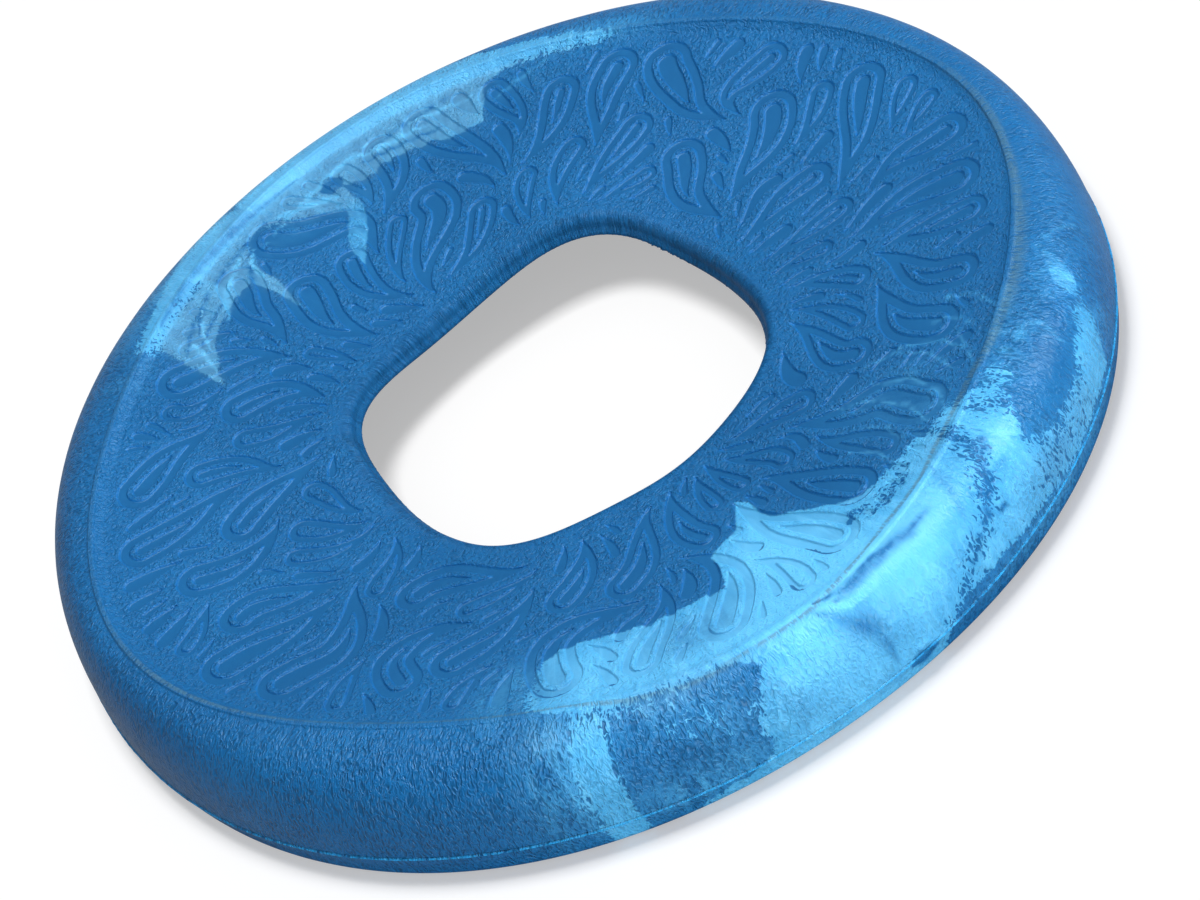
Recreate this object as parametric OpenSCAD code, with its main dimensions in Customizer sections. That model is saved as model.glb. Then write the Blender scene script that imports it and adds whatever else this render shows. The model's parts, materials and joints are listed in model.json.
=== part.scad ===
// Flying ring for throwing and fetching: a soft, slightly lobed ring with a
// dished deck, a rolled outer rim and a rounded-square grip hole, moulded in
// one shot from two marbled compounds.
//
// The ring body is the dark compound. Each light swirl is a feather-edged
// inlay of light compound that fills a pocket of the body exactly. Z is up,
// the origin is the ring's centre on the plane it rests on, and the four
// lobes lie at 45 degrees to X and Y. Angles run anticlockwise from +X.

/* [Outline] */
// Diameter at the parting line, between lobes and hollows
ring_d = 216; // [200:1:236]
// How far the outline swells at each lobe
outline_lobe = 0.9; // [0:0.1:2]
// Height of the parting line above the rest plane
parting_z = 6.1; // [5:0.1:7]
// How far the parting line rises at each lobe
parting_rise = 0.8; // [0:0.1:1.2]
// How far the parting flash stands out
flash_out = 0.35; // [0.1:0.05:0.6]

/* [Crest and rim] */
// How far the crest's mean radius is inside the outline radius
crest_in = 12.6; // [11:0.1:15]
// How far the crest is drawn in at each lobe
crest_lobe = 2.5; // [0:0.1:3]
// Height of the crest above the parting line
crest_h = 17.9; // [15:0.1:20]
// How far the crest rises at each lobe
crest_rise = 0.7; // [0:0.1:1.5]
// Roundness of the rim, 2 is an ellipse and more is squarer
rim_power = 2.55; // [2:0.05:3]
// Radius of the lower outside edge
foot_r = 3; // [2:0.1:3.5]
// Width of the skirt at the rest plane
skirt_w = 7.6; // [6:0.1:9]

/* [Deck] */
// Drop from the crest to the deck just inside it
step_h = 1.9; // [1:0.1:2.5]
// Width of that step
step_w = 2.6; // [2:0.1:4]
// Thickness of the deck
deck_t = 4.3; // [3.6:0.1:5]
// Sag of the deck below a straight line from step to lip
deck_sag = 0.6; // [0:0.1:1.2]

/* [Grip hole] */
// Mean radius of the hole at its upper lip
hole_r = 41.2; // [36:0.1:46]
// How far the hole's four corners reach out
hole_lobe = 2.15; // [0:0.05:3]
// How much the hole's corners and sides stand out from a plain wave
hole_square = 0.3; // [0:0.05:0.5]
// Turn of the hole's corners ahead of the rim's lobes
hole_twist = 7; // [0:0.5:12]
// Height of the lip above the parting line
lip_h = 10.6; // [9:0.1:12]
// Turn of the lip's high points ahead of the rim's lobes
lip_twist = 14; // [0:0.5:20]
// How far the lip rises at its high points
lip_rise = 1.4; // [0:0.1:1.6]
// Radius of the rounded lip
lip_r = 2.2; // [1.5:0.1:2.6]
// Height of the hole's wall
wall_h = 3.2; // [2.8:0.1:4]
// How far the wall's lower edge stands into the hole
wall_in = 1.5; // [0.5:0.1:1.8]

/* [Light compound] */
// Deepest point of each light inlay below the surface
swirl_depth = 1.9; // [0.8:0.1:2.2]

/* [Hidden] */
dark = [0.10, 0.35, 0.62];
light = [0.36, 0.73, 0.95];

ring_r = ring_d / 2;
lobe_angle = 45;     // first lobe

// Mesh density
steps = 96;          // sections round the ring
deck_n = 8;          // spans across the deck
under_n = 6;         // spans across the deck's underside
rim_n = 7;           // spans over the rim
rim_spacing = 0.85;  // below 1 spreads the rim points near the crest

// Section details
lip_shift = 0.71;    // lip centre from the lip line, in lip radii
wall_foot = [1, -0.6];      // last wall point from the wall's lower edge
wall_edge = 0.2;            // rise of the wall's lower edge
crest_lead = [-1, -0.25];   // point before the crest
flash_half = 0.6;    // half height of the parting flash
under_in = 0.1;      // set-in just below the flash
foot_in = 0.7;       // set-in of the foot from the outline
skirt_chamfer = 0.8; // inner edge of the skirt
skirt_lean = 0.6;    // set-in of the skirt's inner wall at its top
skirt_drop = 8;      // top of that wall below the cavity's top
cavity_in = 6.5;     // centre of the cavity's arc inside the crest
cavity_gap = 0.8;    // end of that arc inside the skirt
cavity_h = 5;        // height of that arc
lip_thinning = 0.5;  // loss of deck thickness towards the lip
core_in = 6;         // core inside the crest, aimed at by the pockets
core_drop = 10;      // core below the crest

// Four-lobed wave: 1 at each lobe, -1 half way between
function wave(a) = cos(4 * (a - lobe_angle));
function outline_r(a) = ring_r + outline_lobe * wave(a);
function parting(a) = parting_z + parting_rise * wave(a);

// Lines round the ring, as [r, z] at angle a
function crest(a) =
    [ring_r - crest_in - crest_lobe * wave(a), parting_z + crest_h + crest_rise * wave(a)];
function lip(a) =
    [hole_r + hole_lobe * wave(a - hole_twist)
         + hole_square * cos(8 * (a - lobe_angle - hole_twist)),
     parting_z + lip_h + lip_rise * wave(a - lip_twist)];
function lip_centre(a) = lip(a) + lip_shift * lip_r * [1, -1];

// Upper surface of the deck, u from 0 at the lip to 1 at the step
function deck_pt(a, u) =
    let (start = lip_centre(a) + [0, lip_r],
         end = crest(a) - [step_w, step_h])
    start + (end - start) * u - [0, deck_sag * sin(180 * u)];

// Rim from the crest (t = 0) round to the parting line (t = 90)
function rim_pt(a, t) =
    let (top = crest(a), low_z = parting(a))
    [top[0] + (outline_r(a) - top[0]) * pow(sin(t), 2 / rim_power),
     low_z + (top[1] - low_z) * pow(cos(t), 2 / rim_power)];

// Point at angle t on an arc with radii size = [r, z]
function arc_pt(centre, size, t) = centre + [size[0] * cos(t), size[1] * sin(t)];

// The closed section at angle a as [r, z] points: up the hole's wall, over
// the lip, across the deck, over the crest and rim, under the skirt and back
function section(a) =
    let (top = crest(a),
         outer = outline_r(a),
         flash_z = parting(a),
         wall = lip(a) - [wall_in, wall_h],
         foot = outer - foot_in,
         skirt = foot - skirt_w,
         cavity_z = top[1] - step_h - deck_t,
         cavity = [top[0] - cavity_in, cavity_z - cavity_h])
    concat(
        [wall + wall_foot, wall + [0, wall_edge]],
        [for (t = [180, 150, 120]) arc_pt(lip_centre(a), [lip_r, lip_r], t)],
        [for (k = [0 : deck_n]) deck_pt(a, k / deck_n)],
        [top + crest_lead, top],
        [for (k = [1 : rim_n - 1]) rim_pt(a, 90 * pow(k / rim_n, rim_spacing))],
        [[outer, flash_z + flash_half],
         [outer + flash_out, flash_z],
         [outer - under_in, flash_z - flash_half]],
        [for (t = [-15, -40, -65, -90])
            arc_pt([foot - foot_r, foot_r], [foot_r, foot_r], t)],
        [[skirt + skirt_chamfer, 0],
         [skirt, skirt_chamfer],
         [skirt - skirt_lean, cavity_z - skirt_drop]],
        [for (t = [30, 60, 90])
            arc_pt(cavity, [skirt - cavity_gap - cavity[0], cavity_h], t)],
        [for (k = [under_n - 1 : -1 : 1])
            let (u = k / under_n)
            deck_pt(a, u) - [0, deck_t - lip_thinning * (1 - u)]]
    );

// Places in the section's list of points
section_n = len(section(0));
lip_j = 5;                       // first deck point
crest_j = lip_j + deck_n + 2;
rim_end_j = crest_j + rim_n - 1; // last rim point above the flash

// Windows of the light swirls: [first step, last step, first point, last point].
// None may cross step 0.
far_window = [16, 35, lip_j + 5, rim_end_j];
near_window = [64, 80, lip_j + 4, rim_end_j];
side_window = [82, 87, crest_j, rim_end_j];
windows = [far_window, near_window, side_window];

// Half wave between first and last, 0 outside them
function bump(k, first, last) =
    k <= first || k >= last ? 0 : sin(180 * (k - first) / (last - first));

// Depth of window w's pocket at step i and point j
function depth(w, i, j) = swirl_depth * sqrt(bump(i, w[0], w[1]) * bump(j, w[2], w[3]));

// Unit step from surface point p towards the core of the section
function inward(p, a) =
    let (target = [min(p[0], crest(a)[0] - core_in), crest(a)[1] - core_drop])
    (target - p) / norm(target - p);

// Grids of [r, z] points: the ring's outer surface, and the dark compound's
angles = [for (i = [0 : steps - 1]) 360 * i / steps];
skin = [for (a = angles) section(a)];
body = [for (i = [0 : steps - 1]) [for (j = [0 : section_n - 1])
    let (p = skin[i][j], d = max([for (w = windows) depth(w, i, j)]))
    d == 0 ? p : p + d * inward(p, angles[i])]];

function spin(p, a) = [p[0] * cos(a), p[0] * sin(a), p[1]];

// The grid's points in window w, in space
function patch(grid, w) =
    [for (i = [w[0] : w[1]]) for (j = [w[2] : w[3]]) spin(grid[i][j], angles[i])];

// Two triangles of a four-sided cell
function halves(p, q, r, s) = [[p, q, r], [p, r, s]];

// The whole ring of dark compound, with a pocket for each light swirl
module ring_body() {
    color(dark)
    polyhedron(
        points = patch(body, [0, steps - 1, 0, section_n - 1]),
        faces = [for (i = [0 : steps - 1]) for (j = [0 : section_n - 1])
            let (here = i * section_n,
                 next = (i + 1) % steps * section_n,
                 j2 = (j + 1) % section_n)
            each halves(here + j, next + j, next + j2, here + j2)],
        convexity = 6);
}

// One light inlay: the ring's surface above, the pocket's floor below
module swirl(w) {
    ni = w[1] - w[0] + 1;
    nj = w[3] - w[2] + 1;
    // A vertex v is [i, j] in the window; both sheets share the edge's points
    function inside(v) = v[0] > 0 && v[0] < ni - 1 && v[1] > 0 && v[1] < nj - 1;
    function upper(v) = v[0] * nj + v[1];
    function lower(v) = upper(v) + (inside(v) ? ni * nj : 0);
    triangles = [for (i = [0 : ni - 2]) for (j = [0 : nj - 2])
        each halves([i, j], [i + 1, j], [i + 1, j + 1], [i, j + 1])];
    // Corner triangles wholly on the edge have no thickness
    kept = [for (t = triangles) if (inside(t[0]) || inside(t[1]) || inside(t[2])) t];
    polyhedron(
        points = concat(patch(skin, w), patch(body, w)),
        faces = concat(
            [for (t = kept) [for (v = t) upper(v)]],
            [for (t = kept) [for (v = [t[2], t[1], t[0]]) lower(v)]]),
        convexity = 4);
}

// Over the outer deck, crest and rim on the far (+Y) side
module far_light_swirl() { color(light) swirl(far_window); }

// Over the outer deck, crest and rim on the near (-Y) side
module near_light_swirl() { color(light) swirl(near_window); }

// Thin streak from the crest down the rim, at the near right (+X, -Y) lobe
module side_light_swirl() { color(light) swirl(side_window); }

ring_body();
far_light_swirl();
near_light_swirl();
side_light_swirl();
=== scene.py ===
"""Soft moulded ring in two marbled compounds, with packed teardrops in relief on its deck.

The ring lies flat, its underside at z = 0 and its hole round the Z axis. The outline swells in
four lobes on the diagonals. The camera looks from -Y (near), with +X to the right.
Shapes are worked out in millimetres and built in metres; angles run from +X towards +Y.
"""
import bpy
import json
import math
import numpy as np
from mathutils import Matrix, Vector
from mathutils.geometry import delaunay_2d_cdt

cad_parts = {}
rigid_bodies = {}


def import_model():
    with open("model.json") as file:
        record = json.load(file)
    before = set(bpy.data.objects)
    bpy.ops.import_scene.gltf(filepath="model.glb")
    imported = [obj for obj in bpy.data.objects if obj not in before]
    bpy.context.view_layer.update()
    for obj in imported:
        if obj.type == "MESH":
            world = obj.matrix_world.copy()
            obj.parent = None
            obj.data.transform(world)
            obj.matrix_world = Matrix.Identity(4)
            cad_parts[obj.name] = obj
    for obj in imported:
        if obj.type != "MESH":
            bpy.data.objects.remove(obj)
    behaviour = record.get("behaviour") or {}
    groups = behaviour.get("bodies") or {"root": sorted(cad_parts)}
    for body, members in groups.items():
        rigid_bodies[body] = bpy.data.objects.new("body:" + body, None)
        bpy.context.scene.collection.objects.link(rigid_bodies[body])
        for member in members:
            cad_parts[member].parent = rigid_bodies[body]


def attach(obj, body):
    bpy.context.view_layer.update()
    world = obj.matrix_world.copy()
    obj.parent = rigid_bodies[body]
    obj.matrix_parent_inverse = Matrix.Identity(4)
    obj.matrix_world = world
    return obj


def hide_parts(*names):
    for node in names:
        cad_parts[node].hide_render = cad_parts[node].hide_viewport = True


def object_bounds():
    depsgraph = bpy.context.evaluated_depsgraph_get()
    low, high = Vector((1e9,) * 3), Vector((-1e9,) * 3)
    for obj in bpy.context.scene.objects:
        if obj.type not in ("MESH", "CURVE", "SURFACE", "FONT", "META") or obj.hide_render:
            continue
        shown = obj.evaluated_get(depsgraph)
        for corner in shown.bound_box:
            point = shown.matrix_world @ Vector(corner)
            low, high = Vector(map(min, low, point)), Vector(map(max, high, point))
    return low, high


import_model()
CAD_LO, CAD_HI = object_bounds()
PI = math.pi
rad = math.radians

# --------------------------------------------------------------------------
# 1. Driving dimensions in millimetres, sized by the CAD frame's own box
# --------------------------------------------------------------------------
SPAN = 1000 * max(CAD_HI[0] - CAD_LO[0], CAD_HI[1] - CAD_LO[1])
TALL = 1000 * (CAD_HI[2] - CAD_LO[2])
EDGE_ROOM = 0.35                # kept free outside the outline for the parting line's flash
OUTLINE_WAVE = 0.9              # half the difference between lobes and hollows
RING_R = SPAN / 2 - EDGE_ROOM + OUTLINE_WAVE
RIM_W, RIM_RISE = 12.6, 17.9    # rim from its crest out and down to the parting line
RIM_POWER = 2.55                # superellipse power of the rim's section
CREST_WAVE, CREST_Z_WAVE = 2.5, 0.7
PART_Z = TALL - RIM_RISE - CREST_Z_WAVE     # height of the parting line
STEP_W, STEP_GAP = 2.6, 0.4     # step inside the crest, and flat left between it and the deck
DECK_T, DECK_SAG = 4.3, 0.6
LIP_R = 2.2                     # rounding of the lip round the hole
WALL_H, WALL_INSET = 3.2, 1.5   # foot of the hole's wall, below and inside the lip
WALL_ROUND, WALL_LIFT = 0.55, 0.1
FOOT_R, FOOT_INSET, SKIRT_W = 3.0, 0.7, 7.6


def ease(x):
    x = np.clip(x, 0, 1)
    return x * x * (3 - 2 * x)


def wave(angle):
    return np.cos(4 * (angle - PI / 4))


def outline_r(angle):
    return RING_R + OUTLINE_WAVE * wave(angle)


def part_z(angle):
    return PART_Z + 0.8 * wave(angle)


def crest_r(angle):
    return RING_R - RIM_W - CREST_WAVE * wave(angle)


def crest_z(angle):
    return PART_Z + RIM_RISE + CREST_Z_WAVE * wave(angle)


def lip_r(angle):
    """Hole outline, its lobes turned 7 degrees from the ring's."""
    return (41.2 + 2.15 * wave(angle - rad(7))
            + 0.3 * np.cos(8 * (angle - PI / 4 - rad(7))))


def lip_z(angle):
    return PART_Z + 10.6 + 1.4 * wave(angle - rad(14))


def step_h(angle):
    """Height of the step, which fades on the near right."""
    return 1.2 - 0.78 * ease((np.cos(angle + rad(60)) + 0.1) / 0.9)


def deck_in(angle):
    return lip_r(angle) + 0.71 * LIP_R


def deck_out(angle):
    return crest_r(angle) - STEP_W - STEP_GAP


def deck_z(angle, r):
    """Height of the sagging deck between the lip and the step."""
    r0, z0 = deck_in(angle), lip_z(angle) + 0.29 * LIP_R
    r1, z1 = crest_r(angle) - STEP_W, crest_z(angle) - step_h(angle)
    u = np.clip((r - r0) / (r1 - r0), -0.1, 1.1)
    return z0 + (z1 - z0) * u - DECK_SAG * np.sin(PI * np.clip(u, 0, 1))


# --------------------------------------------------------------------------
# 2. Drop pattern: curved teardrops packed along a flow that fans outwards
# --------------------------------------------------------------------------
CELL, HALF = 0.25, 100.0        # pattern grid: cell size and half width
COARSE = 4                      # the flow keeps every fourth grid point
FLOW_CELL = CELL * COARSE
FLOW_BLUR = 2.6
LINE_STEP = 0.5                 # step along a drop's spine
TIP_R = 0.16
STAMP_REACH = 9.0               # how far round a drop its distance is recorded
# Flow sources: number, ring radius, angle jitter, turn in spacings, radius jitter
FLOW_RINGS = [(8, 42, 0.16, 0.2, 3.0), (8, 59, 0.18, 0.6, 4.0), (12, 77, 0.12, 0.1, 3.0)]
# Drop sizes: head radius, least and greatest length in head radii, attempts, gap between drops
DROP_SIZES = [
    (5.3, 4.3, 6.2, 600, .75), (4.4, 4.4, 7.0, 3000, .7), (3.6, 4.5, 7.8, 6000, .66),
    (3.0, 4.6, 8.6, 9000, .62), (2.4, 4.6, 9.2, 12000, .6), (1.85, 4.5, 10.2, 15000, .56),
    (1.35, 4.6, 12, 18000, .52), (1.0, 4.8, 13, 14000, .5)]


def sample(field, x, y, cell=CELL):
    """Nearest grid value of a square field at each point."""
    last = field.shape[0] - 1
    row = np.clip(np.rint((y + HALF) / cell).astype(int), 0, last)
    column = np.clip(np.rint((x + HALF) / cell).astype(int), 0, last)
    return field[row, column]


def unit(u, v):
    length = np.hypot(u, v) + 1e-9
    return u / length, v / length


def blur(field, sigma):
    kernel = np.exp(-0.5 * (np.arange(-int(3 * sigma), int(3 * sigma) + 1) / sigma) ** 2)
    kernel /= kernel.sum()
    for axis in (0, 1):
        field = np.apply_along_axis(lambda m: np.convolve(m, kernel, 'same'), axis, field)
    return field


def flow_field(rng, x, y, radius, angle):
    """Unit flow spiralling out of scattered sources, pulled outwards near the crest."""
    u, v = np.zeros_like(x), np.zeros_like(x)
    for count, ring, jitter, turn, r_jitter in FLOW_RINGS:
        for k in range(count):
            a = 2 * PI * (k + turn) / count + rng.uniform(-jitter, jitter)
            r = ring + rng.uniform(-r_jitter, r_jitter)
            swirl = rng.choice([-1, 1]) * rng.uniform(.25, .75)
            source_x, source_y = r * math.cos(a), r * math.sin(a)
            dx, dy = x - source_x, y - source_y
            d = np.hypot(dx, dy) + 1e-6
            outward = (dx * source_x + dy * source_y) / (d * r)
            weight = np.clip(outward + 0.25, 0, None) / (d + 2.0) ** 2.6
            rot = swirl * np.log((d + 3) / 8.0)
            c, s = np.cos(rot), np.sin(rot)
            u += weight * (dx * c - dy * s) / d
            v += weight * (dx * s + dy * c) / d
    pull = 0.12 + 0.9 * np.clip((radius - 84) / 10, 0, 1)
    u, v = unit(u, v)
    u, v = unit(u + pull * np.cos(angle), v + pull * np.sin(angle))
    return unit(blur(u, FLOW_BLUR / FLOW_CELL), blur(v, FLOW_BLUR / FLOW_CELL))


def trace_spines(flow, head_x, head_y, bend, count):
    """Lines from the drop heads back against the flow, one row each."""
    x = np.zeros((len(head_x), count))
    y = np.zeros_like(x)
    x[:, 0], y[:, 0] = head_x, head_y
    turn = np.zeros(len(head_x))
    for k in range(1, count):
        u, v = [sample(part, x[:, k - 1], y[:, k - 1], FLOW_CELL) for part in flow]
        turn = turn + bend * LINE_STEP
        c, s = np.cos(turn), np.sin(turn)
        x[:, k] = x[:, k - 1] - LINE_STEP * (u * c - v * s)
        y[:, k] = y[:, k - 1] - LINE_STEP * (u * s + v * c)
    return x, y


def fit_drop(spine_x, spine_y, head, length, shortest, gap, room):
    """Spine and radii of a drop, shortened until it fits its room; None if it can't."""
    count = int(length / LINE_STEP) + 1
    for _ in range(4):
        left = np.clip(1 - np.arange(count) * LINE_STEP / length, 0, 1)
        taper = np.sin(0.5 * PI * np.clip(left * 1.08, 0, 1)) ** 1.35
        radii = TIP_R + (head - TIP_R) * taper
        x, y = spine_x[:count], spine_y[:count]
        bad = np.nonzero(sample(room, x, y) - radii - gap < 0)[0]
        if len(bad) == 0:
            return (x.copy(), y.copy(), radii) if count >= 4 else None
        length = bad[0] * LINE_STEP * 0.97
        if bad[0] == 0 or length < shortest:
            return None
        count = int(length / LINE_STEP) + 1
    return None


def make_pattern():
    """Signed distance to the nearest drop, that drop's number, and (x, y, radii, head)."""
    rng = np.random.RandomState(11)
    axis = np.linspace(-HALF, HALF, int(2 * HALF / CELL) + 1)
    grid_x, grid_y = np.meshgrid(axis, axis)
    radius, angle = np.hypot(grid_x, grid_y), np.arctan2(grid_y, grid_x)
    inner, outer = lip_r(angle) + 2.9, crest_r(angle) - 3.2
    flow = flow_field(rng, *(f[::COARSE, ::COARSE] for f in (grid_x, grid_y, radius, angle)))
    room = np.minimum(radius - inner, outer - radius)
    distance = np.full_like(grid_x, 9.0)
    number = np.zeros(grid_x.shape, np.int32)
    drops = []
    for size, least, most, attempts, gap in DROP_SIZES:
        a = rng.uniform(-PI, PI, attempts)
        r = np.sqrt(rng.uniform(46 ** 2, 93 ** 2, attempts))
        x, y = r * np.cos(a), r * np.sin(a)
        heads = size * rng.uniform(0.86, 1.12, attempts)
        lengths = heads * rng.uniform(least, most, attempts)
        bend = rng.uniform(-1, 1, attempts) * 0.028
        ok = sample(room, x, y) > heads + gap
        x, y, heads, lengths, bend = [q[ok] for q in (x, y, heads, lengths, bend)]
        spare = sample(room, x, y) - heads
        # tightest places first, in shuffled half-millimetre classes
        rank = np.round(spare / 0.5) * 0.5 + rng.uniform(0, .3, len(spare))
        spines = trace_spines(flow, x, y, bend, int(size * most * 1.15 / LINE_STEP) + 2)
        for k in np.argsort(rank, kind="stable"):
            head = heads[k]
            drop = fit_drop(spines[0][k], spines[1][k], head, lengths[k], least * head, gap,
                            room)
            if drop is None:
                continue
            drops.append((*drop, head))
            window = tuple(
                slice(max(0, int((c.min() - head - STAMP_REACH + HALF) / CELL)),
                      min(len(axis), int((c.max() + head + STAMP_REACH + HALF) / CELL) + 2))
                for c in (drop[1], drop[0]))
            near_x, near_y = grid_x[window], grid_y[window]
            signed = np.full(near_x.shape, 99.0)
            for spine_x, spine_y, spine_r in zip(*drop):
                d = np.hypot(near_x - spine_x, near_y - spine_y) - spine_r
                np.minimum(signed, d, out=signed)
            number[window][signed < distance[window]] = len(drops)
            np.minimum(distance[window], signed, out=distance[window])
            np.minimum(room[window], signed, out=room[window])
    return distance, number, drops


DROP_DIST, DROP_NO, DROPS = make_pattern()

# --------------------------------------------------------------------------
# 3. Relief of the drops: edge lines inside each outline
# --------------------------------------------------------------------------
EDGE_W = 0.55                   # width of each relief edge
FLOOR_W = 0.42                  # flat floor line beside an edge
LOOP_GAP = 0.44                 # point spacing along an edge line
FAR = 99.0                      # stands for an edge that a drop doesn't have


def relief(head):
    """Edge lines of a drop, (offset inward, height, slope sign), and its relief depth."""
    depth = 0.46 if head > 1.6 else 0.4 if head > 1.0 else 0.32

    def down(at):
        return [(at, 0.0, 0), (at + EDGE_W / 2, -depth / 2, 1), (at + EDGE_W, -depth, 0)]

    def up(at):
        return [(at, -depth, 0), (at + EDGE_W / 2, -depth / 2, -1), (at + EDGE_W, 0.0, 0)]

    edges = down(0.0)
    if head > 1.25:
        edges += [(EDGE_W + FLOOR_W, -depth, 0)]
    if head > 2.05:
        rib = 2.0 if head > 4.2 else 1.6 if head > 2.9 else 1.25
        edges += up(rib)
        if head > 3.3:
            pit = rib + EDGE_W + (0.7 if head > 4.2 else 0.4)
            edges += down(pit) + [(pit + EDGE_W + FLOOR_W, -depth, 0)]
    return edges, depth


def outline(x, y, radii, offset):
    """Closed loop round a tapering drop, moved inward: points and outward normals."""
    r = radii - offset
    keep = r > 0.05
    count = int(np.argmin(keep)) if not keep.all() else len(r)
    if count < 3:
        return None
    x, y, r = x[:count], y[:count], r[:count]
    tx, ty = np.gradient(x), np.gradient(y)
    length = np.hypot(tx, ty)
    tx, ty = tx / length, ty / length
    dr = np.clip(np.gradient(r) / length, -0.9, 0.9)
    c = np.sqrt(1 - dr * dr)
    # two sides of the envelope, from head to tip
    lx, ly = x + r * (-dr * tx - c * ty), y + r * (-dr * ty + c * tx)
    rx, ry = x + r * (-dr * tx + c * ty), y + r * (-dr * ty - c * tx)
    # the arc that joins them round the head, on the side away from the spine
    a0 = math.atan2(ly[0] - y[0], lx[0] - x[0])
    a1 = math.atan2(ry[0] - y[0], rx[0] - x[0])
    while a1 <= a0:
        a1 += 2 * PI
    if math.cos((a0 + a1) / 2) * tx[0] + math.sin((a0 + a1) / 2) * ty[0] > 0:
        a1 -= 2 * PI
    a = np.linspace(a0, a1, max(6, int(abs(a1 - a0) * r[0] / LOOP_GAP)) + 1)[1:-1]
    tip_x, tip_y = x[-1] + r[-1] * tx[-1], y[-1] + r[-1] * ty[-1]
    px = np.concatenate([lx[::-1], x[0] + r[0] * np.cos(a), rx, [tip_x]])
    py = np.concatenate([ly[::-1], y[0] + r[0] * np.sin(a), ry, [tip_y]])
    # even spacing
    qx, qy = np.append(px, px[0]), np.append(py, py[0])
    s = np.concatenate([[0], np.cumsum(np.hypot(np.diff(qx), np.diff(qy)))])
    n = max(8, int(s[-1] / LOOP_GAP))
    at = np.arange(n) * s[-1] / n
    px, py = np.interp(at, s, qx), np.interp(at, s, qy)
    gx, gy = unit(np.roll(px, -1) - np.roll(px, 1), np.roll(py, -1) - np.roll(py, 1))
    area = 0.5 * np.sum(px * np.roll(py, -1) - np.roll(px, -1) * py)
    return (px, py, gy, -gx) if area >= 0 else (px, py, -gy, gx)


# --------------------------------------------------------------------------
# 4. Section rows that run round the ring, each (radius, height)
# --------------------------------------------------------------------------
NA = 1200                       # points round the ring
TH = np.arange(NA) * 2 * PI / NA
R_CREST, Z_CREST, R_OUT, Z_PART = crest_r(TH), crest_z(TH), outline_r(TH), part_z(TH)
R_DECK_OUT = deck_out(TH)
R_WALL, Z_WALL = lip_r(TH) - WALL_INSET, lip_z(TH) - WALL_H
R_ROLL, Z_ROLL = deck_in(TH), lip_z(TH) - 0.71 * LIP_R      # centre of the lip's rounding
R_FOOT, R_SKIRT = R_OUT - FOOT_INSET - FOOT_R, R_OUT - FOOT_INSET - SKIRT_W
GATE_DEG = -80.3                # trimmed gate on the parting line


def ring_noise(lo, hi, seed, power=0.5):
    """Periodic noise round the ring, with waves lo..hi per turn, about -1..1."""
    rng = np.random.RandomState(seed)
    k = np.arange(lo, hi)
    amplitude = rng.normal(size=len(k)) / k ** power
    phase = rng.uniform(0, 2 * PI, len(k))
    v = (amplitude[None] * np.cos(TH[:, None] * k[None] + phase[None])).sum(1)
    return v / (np.abs(v).max() + 1e-9)


def near_deg(centre, width):
    return np.exp(-((np.degrees(TH) - centre + 180) % 360 - 180) ** 2 / (2 * width * width))


def hole_rows():
    """Slightly ragged hole edge, wall and lip, up to the deck's inner boundary."""
    burr = np.clip(ring_noise(90, 560, 5, 0.0), 0, 1)
    burr = burr * (0.9 * near_deg(33, 7) + 0.35 * near_deg(62, 12) + 0.15)
    rows = []
    for turn, ragged in ((0.0, 0.0), (0.5, 0.35), (1.0, 0.8)):
        a = -PI / 2 - turn * PI / 2
        rows.append((R_WALL + WALL_ROUND + WALL_ROUND * np.cos(a) - burr * ragged,
                     Z_WALL + WALL_LIFT + WALL_ROUND * np.sin(a)))
    for u in (0.35, 0.7):
        rows.append((R_WALL + (R_ROLL - LIP_R - R_WALL) * ease(u),
                     Z_WALL + WALL_LIFT + (Z_ROLL - Z_WALL - WALL_LIFT) * u))
    for k in range(9):
        a = PI - k / 8 * PI / 2
        rows.append((R_ROLL + LIP_R * np.cos(a), Z_ROLL + LIP_R * np.sin(a)))
    return rows


def bead(r):
    """Low raised line along the crest."""
    swell = 0.16 * np.exp(-((r - (R_CREST - 0.3)) / 1.3) ** 2)
    line = ease((r - (R_CREST - 0.95)) / 0.3) - ease((r - (R_CREST + 0.3)) / 0.3)
    return swell + 0.26 * line


def step_rows():
    """From the deck's outer boundary over the step to the crest."""
    base = deck_z(TH, R_DECK_OUT)
    rows = []
    for u in [*np.linspace(0, 0.6, 8), *np.linspace(0.64, 1, 11)]:
        r = R_DECK_OUT + (STEP_W + STEP_GAP) * u
        rows.append((r, base + (Z_CREST - base) * ease((u - 0.02) / 0.9) + bead(r)))
    return rows


def rim_rows():
    """Superelliptic rim, its rows placed by arc length from the crest."""
    t = np.linspace(0, PI / 2, 2001)
    sx, sz = RIM_W * np.sin(t) ** (2 / RIM_POWER), RIM_RISE * np.cos(t) ** (2 / RIM_POWER)
    arc = np.concatenate([[0], np.cumsum(np.hypot(np.diff(sx), np.diff(sz)))])
    total = arc[-1]
    places = [0.12, 0.24, 0.36, 0.48, 0.62, 0.8, 1.1,
              *np.linspace(1.6, total * 0.86, 17),
              *np.linspace(total * 0.88, total * 0.95, 4),
              *(total * 0.95 + np.array([0.3, 0.6, 0.85]))]
    gate = near_deg(GATE_DEG, 0.62)
    rows = []
    for s in places:
        a = float(np.interp(s, arc, t))
        r = R_CREST + (R_OUT - R_CREST) * math.sin(a) ** (2 / RIM_POWER)
        z = Z_PART + (Z_CREST - Z_PART) * math.cos(a) ** (2 / RIM_POWER)
        gate_swell = 0.55 * math.exp(-((total - 1.3 - s) / 0.75) ** 2)
        rows.append((r + gate * gate_swell, z + bead(r)))
    return rows


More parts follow.
